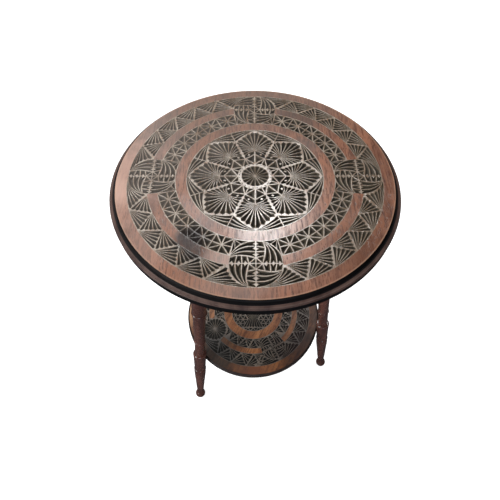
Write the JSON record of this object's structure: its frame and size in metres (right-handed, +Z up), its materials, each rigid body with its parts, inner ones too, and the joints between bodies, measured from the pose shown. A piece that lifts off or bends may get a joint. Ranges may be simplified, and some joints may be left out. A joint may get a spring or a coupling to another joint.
{
  "type": "occasional table",
  "caption": "Round chip-carved wooden occasional table with a smaller carved shelf below, on splayed turned legs with ball feet.",
  "frame": {"origin": "on the floor, at the centre of the round top", "axes": "+Z up; +Y along the grain of the top, away from the front; -Y towards the front"},
  "size_m": [0.4328, 0.4328, 0.685],
  "materials": {
    "carved_top": "satin",
    "carved_shelf": "satin",
    "turned_leg": "gloss",
    "block_wood": "matte",
    "pale_wood": "matte",
    "screw_steel": "satin",
    "glide_nickel": "gloss"
  },
  "bodies": {
    "root": {"top_board": "carved_top", "leg_block": "block_wood", "block_screws": "screw_steel", "shelf_board": "carved_shelf", "glide_nails": "screw_steel", "leg_left": "turned_leg", "tenon_wedge_left": "pale_wood", "shelf_dowel_left": "pale_wood", "foot_glide_left": "glide_nickel", "leg_right": "turned_leg", "tenon_wedge_right": "pale_wood", "shelf_dowel_right": "pale_wood", "foot_glide_right": "glide_nickel", "leg_rear": "turned_leg", "tenon_wedge_rear": "pale_wood", "shelf_dowel_rear": "pale_wood", "foot_glide_rear": "glide_nickel"}
  },
  "joints": []
}
